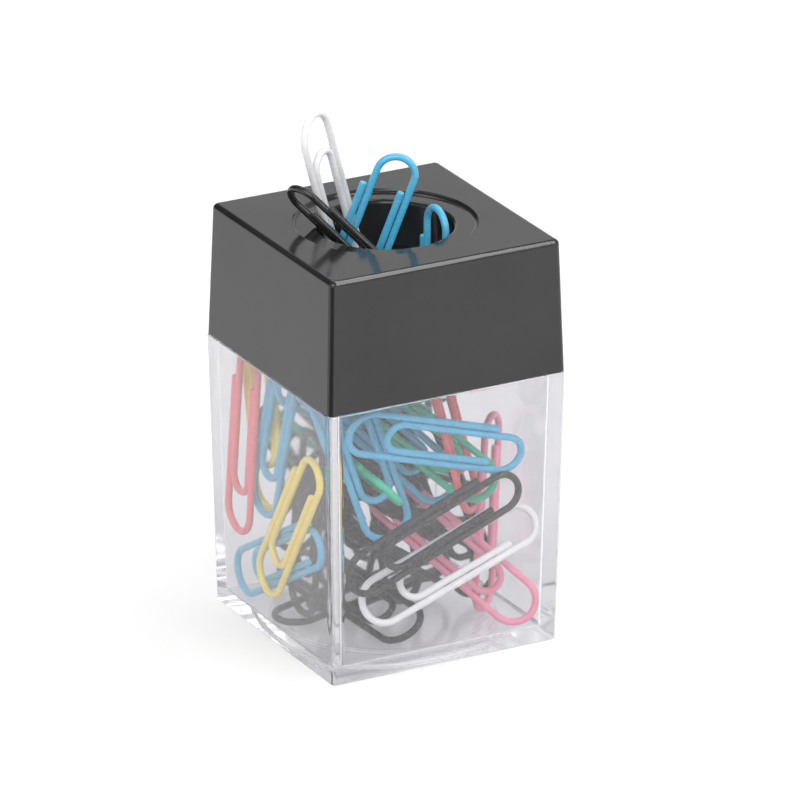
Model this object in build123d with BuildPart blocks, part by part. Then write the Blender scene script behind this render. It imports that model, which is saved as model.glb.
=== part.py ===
"""Magnetic paper clip holder: a clear square cup, a lid with a ring magnet round its mouth, and coated wire clips."""

import os
from itertools import product
from typing import NamedTuple

import numpy as np
from build123d import *
from scipy.spatial import KDTree

# Clip wire and outline, nose at +X and tail at -X of the clip's own plane
WIRE = 1.15
CLIP_LENGTH = 33.0
CLIP_WIDTH = 8.5
LEG_GAP = 0.1
OUTER_END_INSET = 5.8
INNER_LOOP_INSET = 7.0
INNER_END_INSET = 5.4
WIRE_END_ROUND = 0.25

# Cup, with its foot on the ground
CUP_FOOT_WIDTH = 40.1
CUP_WIDTH = 42.0
CUP_HEIGHT = 46.0
CUP_WALL = 2.1
CUP_FLOOR = 2.4
CUP_CORNER = 0.6
CUP_INNER_CORNER = 0.8
CUP_FLOOR_ROUND = 0.5
CUP_FOOT_ROUND = 0.4
SHOULDER_ROUND = 0.45
LIP_HEIGHT = 5.0
LIP_PLAY = 0.15
RECESS_RADIUS = 16.3
RECESS_DEPTH = 0.4

# Lid, flush with the cup's shoulder
LID_HEIGHT = 21.95
LID_SEAT_GAP = 0.05
LID_TOP_WIDTH = 40.6
LID_WALL = 1.1
LID_PLATE = 2.0
LID_CORNER = 1.0
LID_EDGE_ROUND = 0.85
DISH_RADIUS = 14.7
DISH_SLOPE = 0.3
DISH_DEPTH = 0.55
DISH_ROUND = 0.6
MOUTH_RADIUS = 10.7
MOUTH_ROUND = 0.7
NECK_WALL = 1.4

# Ring magnet and the retainer that the neck's bead holds
MAGNET_RADIUS = 16.5
MAGNET_HEIGHT = 4.0
MAGNET_EDGE = 0.3
NECK_PLAY = 0.1
RETAINER_RADIUS = 15.6
RETAINER_HEIGHT = 1.0
BEAD_HEIGHT = 0.9
BEAD_REACH = 0.35
BEAD_PLAY = 0.1

# Room kept between clips, and between clips and walls
CLEARANCE = 0.15
HEAP_HEADROOM = 5.7
SAMPLE = 0.5

# Clip outline from the sizes above
OUTER_LEG = (CLIP_WIDTH - WIRE) / 2
INNER_LEG = OUTER_LEG - WIRE - LEG_GAP
NOSE_RADIUS = (OUTER_LEG + INNER_LEG) / 2
NOSE_Y = (INNER_LEG - OUTER_LEG) / 2
TAIL_END = (WIRE - CLIP_LENGTH) / 2
NOSE_END = (CLIP_LENGTH - WIRE) / 2
TAIL_X = TAIL_END + OUTER_LEG
NOSE_X = NOSE_END - NOSE_RADIUS
INNER_X = TAIL_END + INNER_LOOP_INSET + INNER_LEG
OUTER_FREE_X = NOSE_END - OUTER_END_INSET
INNER_FREE_X = NOSE_END - INNER_END_INSET

# Heights
LID_BOTTOM = CUP_HEIGHT + LID_SEAT_GAP
LID_TOP = LID_BOTTOM + LID_HEIGHT
PLATE_BOTTOM = LID_TOP - LID_PLATE
DISH_Z = LID_TOP - DISH_DEPTH
MAGNET_BOTTOM = PLATE_BOTTOM - MAGNET_HEIGHT
RETAINER_BOTTOM = MAGNET_BOTTOM - RETAINER_HEIGHT
BEAD_TOP = RETAINER_BOTTOM - BEAD_PLAY
NECK_BOTTOM = BEAD_TOP - BEAD_HEIGHT
NECK_RADIUS = MOUTH_RADIUS + NECK_WALL
HEAP_TOP = NECK_BOTTOM - HEAP_HEADROOM
LIP_TOP = LID_BOTTOM + LIP_HEIGHT
LIP_INNER_WIDTH = CUP_WIDTH - 2 * CUP_WALL


class MouthClip(NamedTuple):
    """A clip through the mouth: how it lies, which way it leans on the neck, and how far it stands up."""

    name: str
    heading: float
    rise: float
    twist: float
    toward: float
    aside: float
    start: float
    top: float


class HeapClip(NamedTuple):
    """A clip in the cup: how it lies, the wall or floor it lies against, and its place along and up that wall."""

    name: str
    heading: float
    rise: float
    twist: float
    toward: str
    across: float
    up: float


# Angles in degrees, aside and start in mouth radii, top in millimetres above the lid
MOUTH_CLIPS = [
    MouthClip("mouth_low_blue_clip", -90, 90, 0, -27, 0.0, 1.0, 2.8),
    MouthClip("mouth_black_clip", 150, 45, -50, 180, 0.2, 1.0, 7.5),
    MouthClip("mouth_blue_clip", -28, 70, 0, 220, -0.3, 1.0, 11.2),
    MouthClip("mouth_white_clip", 22, -71, -10, 112, 0.25, 1.0, 18.2),
]

# Angles in degrees, across and up as shares of the room there is
HEAP_CLIPS = [
    HeapClip("front_black_clip", 0, 22, 0, "front", 0.25, 0.31),
    HeapClip("front_white_clip", 0, 20, -24, "front", 1.0, 0.14),
    HeapClip("front_blue_clip", 0, -17, 12, "front", 0.4, 0.74),
    HeapClip("left_yellow_clip", -90, 58, 0, "left", 0.3, 0.17),
    HeapClip("left_red_clip", -90, 83, 0, "left", 1.0, 0.58),
    HeapClip("left_low_blue_clip", -90, 30, 0, "left", 1.0, 0.0),
    HeapClip("steep_blue_clip", 170, 72, 0, "left", 0.15, 0.85),
    HeapClip("front_red_clip", 165, 76, 60, "front", 0.69, 0.95),
    HeapClip("left_green_clip", -100, -6, 42, "front", 0.12, 0.66),
    HeapClip("corner_pink_clip", 142, 40, 12, "front", 1.0, 0.0),
    HeapClip("front_green_clip", 150, 40, 4, "front", 0.68, 0.76),
    HeapClip("slanting_blue_clip", 170, 46, 8, "front", 0.1, 0.88),
    HeapClip("left_blue_clip", -88, 74, 0, "left", 0.5, 0.8),
    HeapClip("floor_black_clip", 15, 2, 88, "floor", 0.1, 0.75),
    HeapClip("floor_cross_black_clip", 96, 3, 60, "floor", 0.24, 0.0),
    HeapClip("steep_pink_clip", 40, 84, 0, "front", 0.93, 0),
    HeapClip("left_back_yellow_clip", 90, 80, 8, "left", 0.95, 0.85),
    HeapClip("corner_black_clip", -88, 84, 0, "left", 0.3, 0.02),
    HeapClip("upright_black_clip", 5, -80, 0, "front", 0.34, 0.0),
    HeapClip("right_black_clip", 175, 70, 5, "front", 0.97, 0.04),
    HeapClip("low_black_clip", 2, -23, 0, "front", 1.0, 0.33),
    HeapClip("back_black_clip", 0, -38, 0, "front", 0.2, 0.06),
    HeapClip("heap_black_clip_1", -5, -50, 3, "front", 0.15, 0.3),
    HeapClip("heap_black_clip_2", 175, 35, 0, "front", 0.22, 0.2),
    HeapClip("heap_black_clip_3", 4, 75, -3, "front", 0.3, 0.12),
    HeapClip("heap_black_clip_4", -3, 45, 0, "front", 0.27, 0.4),
    HeapClip("heap_black_clip_5", 3, -62, 0, "front", 0.37, 0.18),
    HeapClip("heap_pink_clip", 170, 75, 4, "front", 0.66, 0.7),
    HeapClip("heap_blue_clip", -3, -30, 0, "front", 0.2, 0.85),
    HeapClip("heap_black_clip_6", 178, 60, 0, "front", 0.4, 0.45),
]

# What a clip lies against, as the axis it slides down to get there
SIDES = {"front": "Y", "left": "X", "floor": "Z"}

# Neighbouring places tried for a clip, and what a whole step of room counts in millimetres off the wall
ACROSS_TRIES = (0, 0.06, -0.06, 0.12, -0.12, 0.2, -0.2)
UP_TRIES = (0, 0.05, -0.05, 0.1, -0.1)
TRY_COST = 8.0
TURN_STEP = 15

# How far apart those places are in turn, and how the clip's flat is turned, while all that are nearer are taken
SPREADS = (1, 3, 7)
FLAT_TURNS = (0, 30, 60, 90, 120, 150)


def run(start, end):
    """Points along a straight run of the clip's wire."""
    count = int(np.hypot(end[0] - start[0], end[1] - start[1]) / SAMPLE) + 2
    return np.linspace(start, end, count)


def bend(centre, radius, start_angle):
    """Points along a half turn of the clip's wire."""
    angles = np.radians(np.linspace(start_angle, start_angle + 180, int(np.pi * radius / SAMPLE) + 2))
    return np.array(centre) + radius * np.stack([np.cos(angles), np.sin(angles)], axis=1)


def wire_points():
    """Points along the clip's wire in its own plane, from the outer end to the inner end."""
    return np.vstack([
        run((OUTER_FREE_X, OUTER_LEG), (TAIL_X, OUTER_LEG)),
        bend((TAIL_X, 0), OUTER_LEG, 90),
        run((TAIL_X, -OUTER_LEG), (NOSE_X, -OUTER_LEG)),
        bend((NOSE_X, NOSE_Y), NOSE_RADIUS, -90),
        run((NOSE_X, INNER_LEG), (INNER_X, INNER_LEG)),
        bend((INNER_X, 0), INNER_LEG, 90),
        run((INNER_X, -INNER_LEG), (INNER_FREE_X, -INNER_LEG)),
    ])


WIRE_POINTS = wire_points()


def axes(heading, rise, twist):
    """Long and cross directions of a clip: turned to a heading, raised, and its flat turned about its length."""
    h, r, t = np.radians([heading, rise, twist])
    along = np.array([np.cos(h) * np.cos(r), np.sin(h) * np.cos(r), np.sin(r)])
    upright = np.array([-np.cos(h) * np.sin(r), -np.sin(h) * np.sin(r), np.cos(r)])
    return along, np.cos(t) * upright + np.sin(t) * np.cross(along, upright)


def lie(heading, rise, twist):
    """Points along a clip's wire as it lies, about its own middle."""
    along, across = axes(heading, rise, twist)
    return WIRE_POINTS[:, :1] * along + WIRE_POINTS[:, 1:] * across


def free_travel(points, obstacles, along):
    """Least travel back along a direction that leaves points clear of every (centres, reach) group."""
    aside = np.linalg.svd(along.reshape(1, 3))[2][1:].T
    lows, highs = [], []
    for centres, reach in obstacles:
        found = KDTree(centres @ aside).query_ball_point(points @ aside, reach)
        mine = np.repeat(np.arange(len(points)), [len(near) for near in found])
        theirs = np.concatenate(found).astype(int)
        gap = centres[theirs] - points[mine]
        ahead = gap @ along
        span = np.sqrt(np.maximum(reach**2 - (gap**2).sum(axis=1) + ahead**2, 0))
        lows.append(ahead - span)
        highs.append(ahead + span)
    low, high = np.concatenate(lows), np.concatenate(highs)
    travel = 0.0
    blocked = (low < travel) & (travel < high)
    while blocked.any():
        travel = low[blocked].min()
        blocked = (low < travel) & (travel < high)
    return -travel


def room(points, axis):
    """Lowest and highest shift of a clip along X or Y between the cup's tapered walls."""
    taper = (CUP_WIDTH - CUP_FOOT_WIDTH) / CUP_HEIGHT
    half = (CUP_FOOT_WIDTH + taper * points[:, 2]) / 2 - CUP_WALL - WIRE / 2 - CLEARANCE
    return (-half - points[:, axis]).max(), (half - points[:, axis]).min()


def swept(points, along):
    """Points of a clip's path through the heap as it is drawn out along a direction."""
    low = points[points[:, 2] < HEAP_TOP]
    steps = np.arange(0, HEAP_TOP - points[:, 2].min(), SAMPLE)
    return (low[None, :, :] + steps[:, None, None] * along).reshape(-1, 3)


def neck_balls():
    """Centres of balls that fill the neck's wall, for what a clip in the mouth may touch."""
    radius = MOUTH_RADIUS + NECK_WALL / 2
    angles = np.linspace(0, 2 * np.pi, int(2 * np.pi * radius / SAMPLE))
    heights = np.linspace(NECK_BOTTOM + NECK_WALL / 2, DISH_Z - NECK_WALL / 2, int(LID_PLATE / SAMPLE) + 12)
    turn, height = np.meshgrid(angles, heights)
    return np.stack([radius * np.cos(turn), radius * np.sin(turn), height], axis=-1).reshape(-1, 3)


def mouth_place(clip, placed):
    """Points along a clip in the mouth, slid over until the neck or another clip stops it."""
    points = lie(clip.heading, clip.rise, clip.twist)
    angle = np.radians(clip.toward)
    along = np.array([np.cos(angle), np.sin(angle), 0])
    aside = np.array([-np.sin(angle), np.cos(angle), 0])
    middle = MOUTH_RADIUS * (clip.start * along + clip.aside * aside)
    middle[2] = LID_TOP + clip.top - WIRE / 2 - points[:, 2].max()
    obstacles = [(neck_balls(), (NECK_WALL + WIRE) / 2 + CLEARANCE)]
    obstacles += [(other, WIRE + CLEARANCE) for other in placed]
    return points + middle - along * free_travel(points + middle, obstacles, along)


def fitted(clip, heading, twist, up):
    """A clip as it lies at a height, raised a degree at a time until the walls leave it room both ways."""
    margin = WIRE / 2 + CLEARANCE
    for rise in range(clip.rise, clip.rise + 180):
        points = lie(heading, rise, twist)
        low = CUP_FLOOR + margin - points[:, 2].min()
        high = HEAP_TOP - margin - points[:, 2].max()
        points = points + np.array([0, 0, low + up * (high - low)])
        rooms = [room(points, 0), room(points, 1)]
        if high >= low and all(least <= most for least, most in rooms):
            return rise, points, rooms + [(0, high - low)]


def heap_tries(clip, heading, twist, spread, obstacles):
    """Free places near a clip's own, each with its cost, its rise and the points along its wire."""
    axis = "XYZ".index(SIDES[clip.toward])
    along = -np.eye(3)[axis]
    for across_try in ACROSS_TRIES:
        for up_try in UP_TRIES:
            across = min(max(clip.across + spread * across_try, 0), 1)
            up = min(max(clip.up + spread * up_try, 0), 1)
            rise, points, rooms = fitted(clip, heading, twist, 0 if axis == 2 else up)
            shares = [across, up, 0] if axis == 2 else [across, across, 0]
            shares[axis] = 0
            shift = [least + share * (most - least) for (least, most), share in zip(rooms, shares)]
            points = points + np.array(shift)
            off = free_travel(points, obstacles, along)
            if off <= rooms[axis][1] - rooms[axis][0]:
                cost = off + TRY_COST * (abs(across_try) + abs(up_try))
                yield cost, rise, points - along * off


def clip_plane(heading, rise, twist, points):
    """Plane of a clip, with its origin at the clip's middle."""
    along, across = axes(heading, rise, twist)
    middle = points[0] - WIRE_POINTS[0, 0] * along - WIRE_POINTS[0, 1] * across
    return Plane(origin=tuple(middle), x_dir=tuple(along), z_dir=tuple(np.cross(along, across)))


def heap_place(clip, obstacles):
    """Plane of a clip of the heap, as near its wall as the others let it, with the points along its wire."""
    for flat, spread, turn in product(FLAT_TURNS, SPREADS, range(0, 180, TURN_STEP)):
        heading, twist = clip.heading + turn, clip.twist + flat
        tries = list(heap_tries(clip, heading, twist, spread, obstacles))
        if tries:
            cost, rise, points = min(tries, key=lambda found: found[0])
            return clip_plane(heading, rise, twist, points), points


# Clips in the mouth first, then the heap, each clear of all that lie already
planes = {}
placed = []
drawn_out = []
for clip in MOUTH_CLIPS:
    points = mouth_place(clip, placed)
    planes[clip.name] = clip_plane(clip.heading, clip.rise, clip.twist, points)
    placed.append(points)
    pull = axes(clip.heading, clip.rise, clip.twist)[0] * np.sign(clip.rise)
    drawn_out += [swept(points, pull), swept(points, np.array([0, 0, 1]))]
for clip in HEAP_CLIPS:
    planes[clip.name], points = heap_place(clip, [(np.vstack(placed + drawn_out), WIRE + CLEARANCE)])
    placed.append(points)

os.makedirs("parts", exist_ok=True)

# Each clip is one wire swept along its outline
for name, plane in planes.items():
    with BuildPart() as clip:
        with BuildLine(plane):
            Line((OUTER_FREE_X, OUTER_LEG), (TAIL_X, OUTER_LEG))
            CenterArc((TAIL_X, 0), OUTER_LEG, 90, 180)
            Line((TAIL_X, -OUTER_LEG), (NOSE_X, -OUTER_LEG))
            CenterArc((NOSE_X, NOSE_Y), NOSE_RADIUS, -90, 180)
            Line((NOSE_X, INNER_LEG), (INNER_X, INNER_LEG))
            CenterArc((INNER_X, 0), INNER_LEG, 90, 180)
            Line((INNER_X, -INNER_LEG), (INNER_FREE_X, -INNER_LEG))
        start = plane.from_local_coords((OUTER_FREE_X, OUTER_LEG))
        with BuildSketch(Plane(origin=start, z_dir=-plane.x_dir)):
            Circle(WIRE / 2)
        sweep()
        fillet(clip.faces().filter_by(GeomType.PLANE).edges(), WIRE_END_ROUND)
    clip.part.label = name
    export_step(clip.part, f"parts/{name}.step")

# Cup: tapered box with a shoulder, a thin lip that goes up inside the lid, and a round recess under its floor
lid_taper = (CUP_WIDTH - LID_TOP_WIDTH) / LID_HEIGHT
lip_width = CUP_WIDTH - 2 * LID_WALL - 2 * LIP_PLAY
lip_top_width = lip_width - lid_taper * LIP_HEIGHT
cup_taper = (CUP_WIDTH - CUP_FOOT_WIDTH) / CUP_HEIGHT
well_foot_width = CUP_FOOT_WIDTH + cup_taper * CUP_FLOOR - 2 * CUP_WALL
with BuildPart() as cup:
    with BuildSketch():
        RectangleRounded(CUP_FOOT_WIDTH, CUP_FOOT_WIDTH, CUP_CORNER)
    with BuildSketch(Plane.XY.offset(CUP_HEIGHT)):
        RectangleRounded(CUP_WIDTH, CUP_WIDTH, CUP_CORNER)
    loft()
    fillet(cup.faces().sort_by(Axis.Z)[-1].edges(), SHOULDER_ROUND)
    fillet(cup.faces().sort_by(Axis.Z)[0].edges(), CUP_FOOT_ROUND)
    with BuildSketch(Plane.XY.offset(CUP_HEIGHT)):
        RectangleRounded(lip_width, lip_width, CUP_CORNER)
    with BuildSketch(Plane.XY.offset(LIP_TOP)):
        RectangleRounded(lip_top_width, lip_top_width, CUP_CORNER)
    loft()
    with BuildSketch(Plane.XY.offset(CUP_HEIGHT)):
        RectangleRounded(LIP_INNER_WIDTH, LIP_INNER_WIDTH, CUP_INNER_CORNER)
    extrude(amount=LIP_TOP - CUP_HEIGHT, mode=Mode.SUBTRACT)
    with BuildSketch(Plane.XY.offset(CUP_FLOOR)):
        RectangleRounded(well_foot_width, well_foot_width, CUP_INNER_CORNER)
    with BuildSketch(Plane.XY.offset(CUP_HEIGHT)):
        RectangleRounded(LIP_INNER_WIDTH, LIP_INNER_WIDTH, CUP_INNER_CORNER)
    loft(mode=Mode.SUBTRACT)
    well_floor = cup.faces().filter_by(Axis.Z).sort_by_distance((0, 0, CUP_FLOOR))[0]
    fillet(well_floor.edges(), CUP_FLOOR_ROUND)
    with BuildSketch():
        Circle(RECESS_RADIUS)
    extrude(amount=RECESS_DEPTH, mode=Mode.SUBTRACT)
cup.part.label = "cup"
export_step(cup.part, "parts/cup.step")

# Lid: tapered square cap with a dished top, a round mouth and a neck with a bead on its end
cavity_width = CUP_WIDTH - 2 * LID_WALL
cavity_top_width = CUP_WIDTH - lid_taper * (LID_HEIGHT - LID_PLATE) - 2 * LID_WALL
with BuildPart() as lid:
    with BuildSketch(Plane.XY.offset(LID_BOTTOM)):
        RectangleRounded(CUP_WIDTH, CUP_WIDTH, LID_CORNER)
    with BuildSketch(Plane.XY.offset(LID_TOP)):
        RectangleRounded(LID_TOP_WIDTH, LID_TOP_WIDTH, LID_CORNER)
    loft()
    fillet(lid.faces().sort_by(Axis.Z)[-1].edges(), LID_EDGE_ROUND)
    with BuildSketch(Plane.XY.offset(LID_BOTTOM)):
        RectangleRounded(cavity_width, cavity_width, CUP_CORNER)
    with BuildSketch(Plane.XY.offset(PLATE_BOTTOM)):
        RectangleRounded(cavity_top_width, cavity_top_width, CUP_CORNER)
    loft(mode=Mode.SUBTRACT)
    with BuildSketch(Plane.XY.offset(NECK_BOTTOM)):
        Circle(NECK_RADIUS)
    extrude(until=Until.NEXT)
    with BuildSketch(Plane.XY.offset(NECK_BOTTOM)):
        Circle(NECK_RADIUS + BEAD_REACH)
    extrude(amount=BEAD_HEIGHT)
    with BuildSketch(Plane.XZ):
        with BuildLine():
            Polyline(
                (0, LID_TOP),
                (DISH_RADIUS, LID_TOP),
                (DISH_RADIUS - DISH_SLOPE, DISH_Z),
                (0, DISH_Z),
                close=True,
            )
        make_face()
    revolve(axis=Axis.Z, mode=Mode.SUBTRACT)
    circles = lid.edges().filter_by(GeomType.CIRCLE)
    fillet(circles.sort_by_distance((DISH_RADIUS - DISH_SLOPE, 0, DISH_Z))[0], DISH_ROUND)
    with BuildSketch(Plane.XY.offset(NECK_BOTTOM)):
        Circle(MOUTH_RADIUS)
    extrude(amount=DISH_Z - NECK_BOTTOM, mode=Mode.SUBTRACT)
    circles = lid.edges().filter_by(GeomType.CIRCLE)
    fillet(circles.sort_by_distance((MOUTH_RADIUS, 0, DISH_Z))[0], MOUTH_ROUND)
lid.part.label = "lid"
export_step(lid.part, "parts/lid.step")

# Ring magnet against the lid's plate, round the neck
with BuildPart() as ring_magnet:
    with BuildSketch(Plane.XY.offset(MAGNET_BOTTOM)):
        Circle(MAGNET_RADIUS)
        Circle(NECK_RADIUS + NECK_PLAY, mode=Mode.SUBTRACT)
    extrude(amount=MAGNET_HEIGHT)
    chamfer(ring_magnet.edges().filter_by(GeomType.CIRCLE), MAGNET_EDGE)
ring_magnet.part.label = "ring_magnet"
export_step(ring_magnet.part, "parts/ring_magnet.step")

# Retainer under the magnet, snapped over the neck's bead
with BuildPart() as magnet_retainer:
    with BuildSketch(Plane.XY.offset(RETAINER_BOTTOM)):
        Circle(RETAINER_RADIUS)
        Circle(NECK_RADIUS + NECK_PLAY, mode=Mode.SUBTRACT)
    extrude(amount=RETAINER_HEIGHT)
magnet_retainer.part.label = "magnet_retainer"
export_step(magnet_retainer.part, "parts/magnet_retainer.step")
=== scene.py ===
"""Looks of a magnetic paper clip holder: clear cup, black lid and coated wire clips."""

import logging
import math
from dataclasses import dataclass, field
from enum import Enum

import bpy
from mathutils import Matrix, Vector

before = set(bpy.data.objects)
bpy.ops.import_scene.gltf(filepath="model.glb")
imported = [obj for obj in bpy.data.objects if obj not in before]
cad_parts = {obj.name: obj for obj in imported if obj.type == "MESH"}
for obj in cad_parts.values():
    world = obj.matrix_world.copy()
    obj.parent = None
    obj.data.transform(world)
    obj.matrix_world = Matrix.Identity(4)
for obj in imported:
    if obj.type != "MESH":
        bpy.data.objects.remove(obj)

LOG = logging.getLogger("clip_holder")
IMAGE_SIDE = 800
OPAQUE = 1.0
BRIGHTEST = 1.0
UNIT = (0.0, 1.0)
LEVEL = (1.0, 1.0, 0.0)
LIGHT_BOUNCES = 40
CLEAR_BOUNCES = 32

Colour = tuple[float, float, float]
Direction = tuple[float, float, float]
Socket = bpy.types.NodeSocket
Number = float | Socket
Span = tuple[Number, Number]


class Coat(Enum):
    """Coat colours of the clips, by the word in a clip's name."""

    WHITE = "white"
    BLACK = "black"
    BLUE = "blue"
    RED = "red"
    YELLOW = "yellow"
    PINK = "pink"
    GREEN = "green"


def grey(level: float) -> Colour:
    """Makes an even grey, from 0 for black to 1 for white."""
    return (level, level, level)


def opaque(colour: Colour) -> tuple[float, float, float, float]:
    """Adds full alpha to a colour."""
    return (*colour, OPAQUE)


class NodeGraph:
    """A node tree with short calls to add nodes and join them."""

    def __init__(self, tree: bpy.types.NodeTree) -> None:
        """Takes the tree that nodes are added to."""
        self.tree = tree

    def node(self, kind: str, **settings: object) -> bpy.types.Node:
        """Adds a node.

        Args:
            kind: The node's type name.
            settings: Properties to set on the node.

        Returns:
            The new node.
        """
        made = self.tree.nodes.new(kind)
        for name, value in settings.items():
            setattr(made, name, value)
        return made

    def set(self, node: bpy.types.Node, **values: object) -> None:
        """Sets a node's inputs, where an underscore in a name stands for a space."""
        for name, value in values.items():
            node.inputs[name.replace("_", " ")].default_value = value

    def join(self, source: Socket, target: Socket) -> None:
        """Joins an output to an input."""
        self.tree.links.new(source, target)

    def feed(self, target: Socket, value: Number | Direction) -> None:
        """Joins an output to an input, or sets a plain value on it.

        Args:
            target: The input.
            value: The output or the plain value.
        """
        if isinstance(value, Socket):
            self.join(value, target)
        else:
            target.default_value = value

    def number(self, operation: str, *operands: Number, clamp: bool = False) -> Socket:
        """Works out a number.

        Args:
            operation: The Math node's operation.
            operands: What it works on.
            clamp: Whether the result is kept between 0 and 1.

        Returns:
            The result's output.
        """
        made = self.node("ShaderNodeMath", operation=operation, use_clamp=clamp)
        for target, operand in zip(made.inputs, operands):
            self.feed(target, operand)
        return made.outputs["Value"]

    def vector(self, operation: str, *operands: Socket | Direction) -> bpy.types.Node:
        """Works on vectors.

        Args:
            operation: The Vector Math node's operation.
            operands: What it works on.

        Returns:
            The node, with its Vector and Value outputs.
        """
        made = self.node("ShaderNodeVectorMath", operation=operation)
        for target, operand in zip(made.inputs, operands):
            self.feed(target, operand)
        return made

    def height(self, place: Socket) -> Socket:
        """Takes the height out of a place or direction.

        Args:
            place: The place's output.

        Returns:
            The height's output.
        """
        parts = self.node("ShaderNodeSeparateXYZ")
        self.join(place, parts.inputs["Vector"])
        return parts.outputs["Z"]

    def ranged(self, value: Socket, given: Span, wanted: Span = UNIT, soft: bool = False) -> Socket:
        """Maps a value from one range to another and keeps it inside.

        Args:
            value: The value's output.
            given: Ends of the range that the value comes in.
            wanted: Ends of the range that it gets.
            soft: Whether it eases in and out.

        Returns:
            The mapped value's output.
        """
        made = self.node("ShaderNodeMapRange", interpolation_type="SMOOTHSTEP" if soft else "LINEAR")
        self.join(value, made.inputs["Value"])
        for name, end in zip(("From Min", "From Max", "To Min", "To Max"), (*given, *wanted)):
            self.feed(made.inputs[name], end)
        return made.outputs["Result"]

    def between(self, kind: str, factor: Socket, first: Number, second: Number) -> Socket:
        """Goes from one value or colour to another.

        Args:
            kind: The Mix node's data type.
            factor: How far it goes, from 0 to 1.
            first: Where it starts.
            second: Where it ends.

        Returns:
            The result's output.
        """
        made = self.node("ShaderNodeMix", data_type=kind)
        self.join(factor, made.inputs["Factor"])
        self.feed(made.inputs["A"], first)
        self.feed(made.inputs["B"], second)
        return made.outputs["Result"]

    def plain(self, kind: str, colour: Colour) -> Socket:
        """Adds a shader of one colour.

        Args:
            kind: The shader's type name.
            colour: Its colour.

        Returns:
            The shader's output.
        """
        made = self.node(kind)
        self.set(made, Color=opaque(colour))
        return made.outputs["BSDF"]

    def mixed(self, factor: Socket, first: Socket, second: Socket) -> Socket:
        """Mixes two shaders.

        Args:
            factor: The share of the second one.
            first: The first shader's output.
            second: The second shader's output.

        Returns:
            The mixed shader's output.
        """
        made = self.node("ShaderNodeMixShader")
        for target, source in zip(made.inputs, (factor, first, second)):
            self.join(source, target)
        return made.outputs["Shader"]


class SurfaceGroup:
    """A shader node group that is made once and placed in many materials."""

    OUTPUTS = {"Colour": "NodeSocketColor", "Roughness": "NodeSocketFloat", "Height": "NodeSocketFloat"}

    def __init__(self, name: str, inputs: dict[str, float | Colour]) -> None:
        """Makes the group and its sockets.

        Args:
            name: The group's name.
            inputs: Each input's name and first value.
        """
        self.tree = bpy.data.node_groups.new(name, "ShaderNodeTree")
        for label, value in inputs.items():
            kind = "NodeSocketColor" if isinstance(value, tuple) else "NodeSocketFloat"
            socket = self.tree.interface.new_socket(label, in_out="INPUT", socket_type=kind)
            socket.default_value = opaque(value) if isinstance(value, tuple) else value
        for label, kind in self.OUTPUTS.items():
            self.tree.interface.new_socket(label, in_out="OUTPUT", socket_type=kind)
        self.graph = NodeGraph(self.tree)
        self.given = self.graph.node("NodeGroupInput").outputs
        self.result = self.graph.node("NodeGroupOutput").inputs

    def place(self, graph: NodeGraph, **values: object) -> bpy.types.Node:
        """Puts the group in a material.

        Args:
            graph: The material's graph.
            values: The group's inputs for this material.

        Returns:
            The group node.
        """
        node = graph.node("ShaderNodeGroup", node_tree=self.tree)
        graph.set(node, **values)
        return node

    def noise(self, place: Socket, scale: str, detail: float, roughness: float) -> Socket:
        """Adds a noise that varies over the surface.

        Args:
            place: The coordinates' output.
            scale: The group's input that gives the noise its scale.
            detail: How many finer layers it has.
            roughness: How strong they are.

        Returns:
            The noise's output.
        """
        made = self.graph.node("ShaderNodeTexNoise")
        self.graph.set(made, Detail=detail, Roughness=roughness)
        self.graph.join(place, made.inputs["Vector"])
        self.graph.join(self.given[scale], made.inputs["Scale"])
        return made.outputs["Fac"]

    def give(self, colour: Socket, roughness: Socket, height: Socket) -> None:
        """Joins the group's outputs.

        Args:
            colour: The surface's colour.
            roughness: Its roughness.
            height: Its relief, from 0 to 1.
        """
        self.graph.join(colour, self.result["Colour"])
        self.graph.join(roughness, self.result["Roughness"])
        self.graph.join(height, self.result["Height"])


class MouldedSkin(SurfaceGroup):
    """Skin of moulded plastic: drifting colour and gloss, faint wiping marks, a low waviness."""

    INPUTS = {
        "Deep": (0.5, 0.5, 0.5),
        "Pale": (0.6, 0.6, 0.6),
        "Smooth": 0.1,
        "Dull": 0.2,
        "Drift Scale": 60.0,
        "Mark Scale": 240.0,
    }
    DRIFT_DETAIL = 3.0
    DRIFT_ROUGHNESS = 0.55
    DRIFT_SPAN = (0.3, 0.7)
    MARK_TURN = (0.3, 0.15, 0.6)
    MARK_STRETCH = (1.0, 9.0, 4.0)
    MARK_DETAIL = 2.0
    MARK_ROUGHNESS = 0.6
    MARK_SPAN = (0.62, 0.74)
    MARK_DULLING = (0.0, 0.35)
    GLOSS_SPAN = (0.3, 0.8)

    def __init__(self) -> None:
        """Builds the group."""
        super().__init__("moulded_skin", self.INPUTS)
        graph = self.graph
        place = graph.node("ShaderNodeTexCoord").outputs["Object"]
        drift = self.noise(place, "Drift Scale", self.DRIFT_DETAIL, self.DRIFT_ROUGHNESS)
        spread = graph.ranged(drift, self.DRIFT_SPAN)
        colour = graph.between("RGBA", spread, self.given["Deep"], self.given["Pale"])
        stretch = graph.node("ShaderNodeMapping")
        graph.set(stretch, Rotation=self.MARK_TURN, Scale=self.MARK_STRETCH)
        graph.join(place, stretch.inputs["Vector"])
        wiped = self.noise(stretch.outputs["Vector"], "Mark Scale", self.MARK_DETAIL, self.MARK_ROUGHNESS)
        marks = graph.ranged(wiped, self.MARK_SPAN, self.MARK_DULLING)
        worn = graph.number("ADD", drift, marks, clamp=True)
        roughness = graph.ranged(worn, self.GLOSS_SPAN, (self.given["Smooth"], self.given["Dull"]))
        self.give(colour, roughness, drift)


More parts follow.
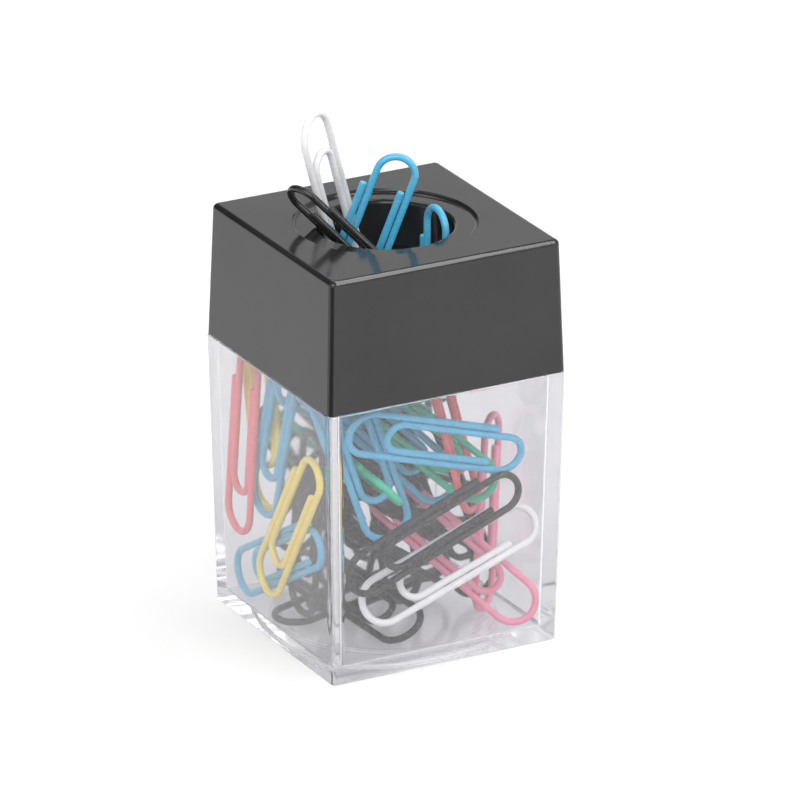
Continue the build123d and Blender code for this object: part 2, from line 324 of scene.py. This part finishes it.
class CoatSkin(SurfaceGroup):
    """Skin of dipped coat on wire: darker where it pools, lighter where it thins, finely pitted."""

    INPUTS = {"Thick": (0.5, 0.5, 0.5), "Thin": (0.6, 0.6, 0.6), "Pool Scale": 320.0, "Pit Scale": 2600.0}
    POOL_DETAIL = 2.0
    PIT_DETAIL = 1.0
    NOISE_ROUGHNESS = 0.5
    NOISE_SPAN = (0.3, 0.7)
    PIT_DULLING = (0.2, 0.34)

    def __init__(self) -> None:
        """Builds the group."""
        super().__init__("coat_skin", self.INPUTS)
        graph = self.graph
        place = graph.node("ShaderNodeTexCoord").outputs["Object"]
        pools = self.noise(place, "Pool Scale", self.POOL_DETAIL, self.NOISE_ROUGHNESS)
        spread = graph.ranged(pools, self.NOISE_SPAN)
        colour = graph.between("RGBA", spread, self.given["Thick"], self.given["Thin"])
        pits = self.noise(place, "Pit Scale", self.PIT_DETAIL, self.NOISE_ROUGHNESS)
        roughness = graph.ranged(pits, self.NOISE_SPAN, self.PIT_DULLING)
        self.give(colour, roughness, pits)


@dataclass(frozen=True)
class Skins:
    """The shared surface groups."""

    moulded: MouldedSkin = field(default_factory=MouldedSkin)
    coat: CoatSkin = field(default_factory=CoatSkin)


class ShadedMaterial:
    """A new material with a Principled shader joined to its output."""

    def __init__(self, name: str) -> None:
        """Makes the material.

        Args:
            name: The material's name.
        """
        self.data = bpy.data.materials.new(name)
        self.data.use_nodes = True
        self.data.node_tree.nodes.clear()
        self.graph = NodeGraph(self.data.node_tree)
        self.shader = self.graph.node("ShaderNodeBsdfPrincipled")
        self.output = self.graph.node("ShaderNodeOutputMaterial")
        self.surface(self.shader.outputs["BSDF"])

    def surface(self, shader: Socket) -> None:
        """Joins a shader to the material's surface."""
        self.graph.join(shader, self.output.inputs["Surface"])

    def wear(self, skin: bpy.types.Node) -> None:
        """Feeds a skin's colour and roughness into the shader."""
        self.graph.join(skin.outputs["Colour"], self.shader.inputs["Base Color"])
        self.graph.join(skin.outputs["Roughness"], self.shader.inputs["Roughness"])

    def emboss(self, skin: bpy.types.Node, depth: float) -> None:
        """Feeds a skin's height into the shader's normal.

        Args:
            skin: The skin's group node.
            depth: The relief's depth in metres.
        """
        bump = self.graph.node("ShaderNodeBump")
        self.graph.set(bump, Strength=1.0, Distance=depth)
        self.graph.join(skin.outputs["Height"], bump.inputs["Height"])
        self.graph.join(bump.outputs["Normal"], self.shader.inputs["Normal"])


@dataclass(frozen=True)
class CoatFinish:
    """Coloured coat dipped on a clip's wire, with its pits' depth in metres."""

    coat: Coat
    thick: Colour
    thin: Colour
    ior: float = 1.48
    gloss_weight: float = 0.25
    gloss_roughness: float = 0.12
    pit_depth: float = 0.000004

    def material(self, skins: Skins) -> bpy.types.Material:
        """Builds the coat's material from the shared coat skin.

        Args:
            skins: The shared surface groups.

        Returns:
            The material.
        """
        made = ShadedMaterial(f"{self.coat.value}_coat")
        skin = skins.coat.place(made.graph, Thick=opaque(self.thick), Thin=opaque(self.thin))
        made.wear(skin)
        made.emboss(skin, self.pit_depth)
        made.graph.set(made.shader, IOR=self.ior)
        made.graph.set(made.shader, Coat_Weight=self.gloss_weight, Coat_Roughness=self.gloss_roughness)
        return made.data


@dataclass(frozen=True)
class MouldedFinish:
    """What each moulded finish has: two colours, a drifting gloss and the scale of the drift."""

    name: str
    deep: Colour
    pale: Colour
    smooth: float
    dull: float
    ior: float = 1.5
    drift_scale: float = 60.0

    def moulded(self, skins: Skins) -> tuple[ShadedMaterial, bpy.types.Node]:
        """Starts the finish's material with the shared moulded skin on it.

        Args:
            skins: The shared surface groups.

        Returns:
            The material and its skin's group node.
        """
        made = ShadedMaterial(self.name)
        skin = skins.moulded.place(
            made.graph,
            Deep=opaque(self.deep),
            Pale=opaque(self.pale),
            Smooth=self.smooth,
            Dull=self.dull,
            Drift_Scale=self.drift_scale,
        )
        made.wear(skin)
        made.graph.set(made.shader, IOR=self.ior)
        return made, skin


@dataclass(frozen=True)
class PlasticFinish(MouldedFinish):
    """Solid moulded plastic, or ground ferrite, with a relief in metres."""

    relief: float = 0.00001

    def material(self, skins: Skins) -> bpy.types.Material:
        """Builds the solid finish's material.

        Args:
            skins: The shared surface groups.

        Returns:
            The material.
        """
        made, skin = self.moulded(skins)
        made.emboss(skin, self.relief)
        return made.data


@dataclass(frozen=True)
class ClearFinish(MouldedFinish):
    """Clear moulded plastic under a faint mist, which lets lamp light through to what is inside.

    A pale ring of painted highlight marks where the recess under the cup's floor begins. Its sizes are in
    metres.
    """

    shade: Colour = (0.98, 0.98, 0.985)
    depth_colour: Colour = (0.8, 0.8, 0.82)
    depth_density: float = 20.0
    mist: Colour = (0.32, 0.32, 0.33)
    mist_weight: float = 0.1
    # painted highlight: a pale ring under the cup's floor, standing in for light caught at the recess edge
    painted_highlight_ring: Colour = (0.95, 0.95, 0.96)
    painted_highlight_weight: float = 1.0
    painted_highlight_radius: float = 0.0163
    painted_highlight_half_width: float = 0.0014
    painted_highlight_top: float = 0.001

    def material(self, skins: Skins) -> bpy.types.Material:
        """Builds the clear finish's material.

        Args:
            skins: The shared surface groups.

        Returns:
            The material.
        """
        made, _ = self.moulded(skins)
        graph = made.graph
        graph.set(made.shader, Transmission_Weight=1.0)
        mist = graph.plain("ShaderNodeBsdfDiffuse", self.mist)
        misty = graph.mixed(self.mist_mask(graph), made.shader.outputs["BSDF"], mist)
        # painted highlight: a pale diffuse ring mixed over the plastic where the recess edge would catch
        # light
        painted_highlight_ring = graph.plain("ShaderNodeBsdfDiffuse", self.painted_highlight_ring)
        with_painted_highlight = graph.mixed(self.painted_highlight_mask(graph), misty, painted_highlight_ring)
        through = graph.plain("ShaderNodeBsdfTransparent", self.shade)
        made.surface(graph.mixed(self.lamp_rays(graph), with_painted_highlight, through))
        body = graph.node("ShaderNodeVolumeAbsorption")
        graph.set(body, Color=opaque(self.depth_colour), Density=self.depth_density)
        graph.join(body.outputs["Volume"], made.output.inputs["Volume"])
        return made.data

    def mist_mask(self, graph: NodeGraph) -> Socket:
        """Masks the mist, which lies only where light enters the plastic.

        Args:
            graph: The material's graph.

        Returns:
            The mask's output, the mist's weight on faces met from outside and 0 from within.
        """
        within = graph.node("ShaderNodeNewGeometry").outputs["Backfacing"]
        return graph.ranged(within, UNIT, (self.mist_weight, 0.0))

    def painted_highlight_mask(self, graph: NodeGraph) -> Socket:
        """Masks the painted highlight, a pale ring under the cup's floor.

        Args:
            graph: The material's graph.

        Returns:
            The mask's output, the painted highlight's weight at its middle and 0 away from it.
        """
        place = graph.node("ShaderNodeTexCoord").outputs["Object"]
        level = graph.vector("MULTIPLY", place, LEVEL).outputs["Vector"]
        reach = graph.vector("LENGTH", level).outputs["Value"]
        away = graph.number("ABSOLUTE", graph.number("SUBTRACT", reach, self.painted_highlight_radius))
        band = graph.ranged(away, (0.0, self.painted_highlight_half_width), (self.painted_highlight_weight, 0.0), soft=True)
        low = graph.number("LESS_THAN", graph.height(place), self.painted_highlight_top)
        return graph.number("MULTIPLY", band, low)

    def lamp_rays(self, graph: NodeGraph) -> Socket:
        """Picks the rays that carry lamp light and soft light through the plastic.

        Args:
            graph: The material's graph.

        Returns:
            The output that is 1 for those rays.
        """
        path = graph.node("ShaderNodeLightPath").outputs
        return graph.number("MAXIMUM", path["Is Shadow Ray"], path["Is Diffuse Ray"])


def dress(node: str, material: bpy.types.Material) -> None:
    """Puts one material on every slot of a CAD node.

    Args:
        node: The node's name.
        material: The material it gets.
    """
    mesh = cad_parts[node].data
    if not mesh.materials:
        mesh.materials.append(material)
    for index in range(len(mesh.materials)):
        mesh.materials[index] = material
    LOG.info("%s dressed in %s", node, material.name)


@dataclass
class Cup:
    """The clear cup."""

    finish: ClearFinish = ClearFinish(
        "clear_plastic",
        deep=(0.88, 0.875, 0.9),
        pale=(0.9, 0.895, 0.92),
        smooth=0.035,
        dull=0.08,
        ior=1.585,
        drift_scale=40.0,
    )

    def build(self, skins: Skins) -> None:
        """Dresses the cup."""
        dress("cup", self.finish.material(skins))


@dataclass
class Lid:
    """The black lid with its magnet and the magnet's retainer."""

    shell: PlasticFinish = PlasticFinish(
        "black_plastic",
        deep=(0.016, 0.016, 0.017),
        pale=(0.024, 0.024, 0.025),
        smooth=0.08,
        dull=0.16,
    )
    magnet: PlasticFinish = PlasticFinish(
        "ferrite",
        deep=(0.04, 0.04, 0.045),
        pale=(0.07, 0.07, 0.075),
        smooth=0.45,
        dull=0.7,
        ior=1.7,
        drift_scale=300.0,
    )
    retainer: PlasticFinish = PlasticFinish(
        "grey_plastic",
        deep=(0.035, 0.035, 0.04),
        pale=(0.05, 0.05, 0.055),
        smooth=0.35,
        dull=0.5,
    )

    def build(self, skins: Skins) -> None:
        """Dresses the lid and what it carries.

        Args:
            skins: The shared surface groups.
        """
        dress("lid", self.shell.material(skins))
        dress("ring_magnet", self.magnet.material(skins))
        dress("magnet_retainer", self.retainer.material(skins))


@dataclass
class Clips:
    """All the coated clips, in the cup and in the mouth."""

    finishes: tuple[CoatFinish, ...] = (
        CoatFinish(Coat.WHITE, thick=(0.8, 0.8, 0.81), thin=(0.86, 0.86, 0.87)),
        CoatFinish(Coat.BLACK, thick=(0.012, 0.012, 0.013), thin=(0.02, 0.02, 0.021)),
        CoatFinish(Coat.BLUE, thick=(0.07, 0.42, 0.66), thin=(0.1, 0.47, 0.72)),
        CoatFinish(Coat.RED, thick=(0.87, 0.13, 0.15), thin=(0.92, 0.17, 0.19)),
        CoatFinish(Coat.YELLOW, thick=(0.97, 0.73, 0.09), thin=(1.0, 0.79, 0.13)),
        CoatFinish(Coat.PINK, thick=(0.86, 0.26, 0.39), thin=(0.91, 0.32, 0.45)),
        CoatFinish(Coat.GREEN, thick=(0.012, 0.54, 0.3), thin=(0.02, 0.6, 0.35)),
    )

    def build(self, skins: Skins) -> None:
        """Dresses each clip by the colour word in its name.

        Args:
            skins: The shared surface groups.
        """
        clips = [node for node in sorted(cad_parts) if "clip" in node.split("_")]
        for finish in self.finishes:
            material = finish.material(skins)
            for clip in clips:
                if finish.coat.value in clip.split("_"):
                    dress(clip, material)


@dataclass(frozen=True)
class Softbox:
    """A soft lamp, placed by its direction from the holder, with its length along a direction.

    Its sizes and its distance are in metres, and its power is in watts.
    """

    name: str
    way: Direction
    wide: float
    long: float
    power: float
    distance: float = 0.9
    along: Direction = (0.0, 0.0, 1.0)

    def build(self, aim: Vector) -> None:
        """Hangs the lamp and turns it to the aim.

        Args:
            aim: The place that it shines at.
        """
        data = bpy.data.lights.new(self.name, "AREA")
        data.shape = "RECTANGLE"
        data.size = self.wide
        data.size_y = self.long
        data.energy = self.power
        lamp = bpy.data.objects.new(self.name, data)
        bpy.context.scene.collection.objects.link(lamp)
        way = Vector(self.way).normalized()
        across = Vector(self.along).cross(way).normalized()
        lamp.location = aim + way * self.distance
        lamp.rotation_euler = Matrix((across, way.cross(across), way)).transposed().to_euler()
        LOG.info("%s hung", self.name)


@dataclass(frozen=True)
class Flag:
    """A dark soft-edged patch in what gloss mirrors, round a direction from the holder.

    Its edge runs between two cosines of the angle to that direction.
    """

    way: Direction
    clear_at: float
    dark_at: float

    def mask(self, graph: NodeGraph, place: Socket) -> Socket:
        """Measures how far into the patch a place lies.

        Args:
            graph: The material's or the world's graph.
            place: The place or direction, of any length.

        Returns:
            The mask's output, 1 in the patch and 0 away from it.
        """
        turned = graph.vector("NORMALIZE", place).outputs["Vector"]
        near = graph.vector("DOT_PRODUCT", turned, Vector(self.way).normalized()).outputs["Value"]
        return graph.ranged(near, (self.clear_at, self.dark_at), soft=True)


def mirrored_rays(graph: NodeGraph, path: bpy.types.Node) -> Socket:
    """Picks the rays that gloss mirrors, without those that the cup refracts.

    Args:
        graph: The material's or the world's graph.
        path: Its Light Path node.

    Returns:
        The output that is 1 for those rays.
    """
    rays = path.outputs
    return graph.number("SUBTRACT", rays["Is Glossy Ray"], rays["Is Transmission Ray"], clamp=True)


@dataclass
class Studio:
    """Pale floor, soft light and the camera, in metres and degrees."""

    floor_side: float = 6.0
    floor_drop: float = 0.00005
    floor_level: float = 0.72
    floor_roughness: float = 0.9
    floor_lift: float = 0.29
    floor_far_lift: float = 0.6
    floor_near: float = 0.3
    floor_far: float = 1.3
    sky_level: float = 0.56
    gloss_low: float = 0.82
    gloss_high: float = 0.12
    gloss_low_at: float = 0.3
    gloss_high_at: float = 0.85
    lamps: tuple[Softbox, ...] = (
        Softbox("key_softbox", way=(-0.55, -0.56, 0.62), wide=0.7, long=0.7, power=4.5),
        Softbox(
            "edge_strip",
            way=(0.42, -0.35, 0.83),
            wide=0.1,
            long=1.0,
            power=1.9,
            distance=0.5,
            along=(0.0, 0.91, 0.41),
        ),
        Softbox("rim_softbox", way=(0.12, 0.55, 0.83), wide=0.22, long=0.22, power=0.6),
    )
    sky_flag: Flag = Flag(way=(-0.35, 0.82, 0.45), clear_at=0.78, dark_at=0.9)
    floor_flag: Flag = Flag(way=(-0.777, -0.629, 0.0), clear_at=0.82, dark_at=0.92)
    flag_level: float = 0.03
    azimuth: float = -28.151
    elevation: float = 21.765
    distance: float = 1.452
    aim: Direction = (0.0, 0.0, 0.03772)
    focal_pixels: float = 9177.3
    left_of_middle_pixels: float = 14.82
    sensor_millimetres: float = 36.0
    sight: float = 50.0

    def build(self) -> None:
        """Builds the floor, the sky, the lamps and the camera."""
        self.build_floor()
        self.build_sky()
        for lamp in self.lamps:
            lamp.build(Vector(self.aim))
        self.build_camera()

    def build_floor(self) -> None:
        """Adds the floor."""
        bpy.ops.object.select_all(action="DESELECT")
        bpy.ops.mesh.primitive_plane_add(size=self.floor_side, location=(0.0, 0.0, -self.floor_drop))
        floor = bpy.context.active_object
        floor.name = "floor"
        bpy.ops.object.transform_apply(location=True, rotation=True, scale=True)
        floor.data.materials.append(self.floor_paper())
        LOG.info("%s laid", floor.name)

    def floor_paper(self) -> bpy.types.Material:
        """Builds pale paper that looks white where nothing shades it, and dark in gloss at the flag.

        Returns:
            The material.
        """
        made = ShadedMaterial("floor_paper")
        graph = made.graph
        path = graph.node("ShaderNodeLightPath")
        place = graph.node("ShaderNodeNewGeometry").outputs["Position"]
        rays = path.outputs
        clear = graph.number("ADD", rays["Is Glossy Ray"], rays["Is Transmission Ray"], clamp=True)
        seen = graph.number("ADD", rays["Is Camera Ray"], clear, clamp=True)
        reach = graph.vector("LENGTH", place).outputs["Value"]
        lifts = (self.floor_lift, self.floor_far_lift)
        level = graph.ranged(reach, (self.floor_near, self.floor_far), lifts)
        graph.set(made.shader, Base_Color=opaque(grey(self.floor_level)), Roughness=self.floor_roughness)
        graph.set(made.shader, Specular_IOR_Level=0.0, Emission_Color=opaque(grey(BRIGHTEST)))
        graph.join(graph.number("MULTIPLY", seen, level), made.shader.inputs["Emission Strength"])
        dark = graph.plain("ShaderNodeBsdfDiffuse", grey(self.flag_level))
        patch = self.floor_flag.mask(graph, place)
        flagged = graph.number("MULTIPLY", mirrored_rays(graph, path), patch)
        made.surface(graph.mixed(flagged, made.shader.outputs["BSDF"], dark))
        return made.data

    def build_sky(self) -> None:
        """Sets a pale sky, white where it is seen plainly or through the cup, darker overhead in gloss."""
        world = bpy.data.worlds.new("studio_sky")
        bpy.context.scene.world = world
        world.use_nodes = True
        world.node_tree.nodes.clear()
        graph = NodeGraph(world.node_tree)
        path = graph.node("ShaderNodeLightPath")
        way = graph.node("ShaderNodeTexCoord").outputs["Generated"]
        rays = path.outputs
        clear = graph.number("ADD", rays["Is Camera Ray"], rays["Is Transmission Ray"], clamp=True)
        plain = graph.ranged(clear, UNIT, (self.sky_level, BRIGHTEST))
        rise = (self.gloss_low_at, self.gloss_high_at)
        gloss = graph.ranged(graph.height(way), rise, (self.gloss_low, self.gloss_high))
        flagged = graph.between("FLOAT", self.sky_flag.mask(graph, way), gloss, self.flag_level)
        strength = graph.between("FLOAT", mirrored_rays(graph, path), plain, flagged)
        background = graph.node("ShaderNodeBackground")
        graph.set(background, Color=opaque(grey(BRIGHTEST)))
        graph.join(strength, background.inputs["Strength"])
        output = graph.node("ShaderNodeOutputWorld")
        graph.join(background.outputs["Background"], output.inputs["Surface"])
        LOG.info("%s set", world.name)

    def build_camera(self) -> None:
        """Adds the camera at the photograph's angle."""
        data = bpy.data.cameras.new("camera")
        data.sensor_width = self.sensor_millimetres
        data.lens = self.focal_pixels / IMAGE_SIDE * data.sensor_width
        data.shift_x = self.left_of_middle_pixels / IMAGE_SIDE
        data.clip_end = self.sight
        camera = bpy.data.objects.new("camera", data)
        bpy.context.scene.collection.objects.link(camera)
        turn = math.radians(self.azimuth)
        tilt = math.radians(self.elevation)
        back = Vector((math.sin(turn) * math.cos(tilt), -math.cos(turn) * math.cos(tilt), math.sin(tilt)))
        camera.location = Vector(self.aim) + back * self.distance
        camera.rotation_euler = back.to_track_quat("Z", "Y").to_euler()
        bpy.context.scene.camera = camera
        LOG.info("%s aimed", camera.name)


def set_view() -> None:
    """Sets the plain view transform and enough bounces for light through the cup's walls."""
    scene = bpy.context.scene
    scene.view_settings.view_transform = "Standard"
    scene.cycles.max_bounces = LIGHT_BOUNCES
    scene.cycles.transmission_bounces = CLEAR_BOUNCES
    scene.cycles.glossy_bounces = CLEAR_BOUNCES
    scene.cycles.transparent_max_bounces = CLEAR_BOUNCES


def main() -> None:
    """Dresses the holder and sets the studio round it."""
    logging.basicConfig(level=logging.INFO, format="%(name)s: %(message)s")
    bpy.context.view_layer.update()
    skins = Skins()
    for assembly in (Cup(), Lid(), Clips()):
        assembly.build(skins)
    Studio().build()
    set_view()


if __name__ == "__main__":
    main()
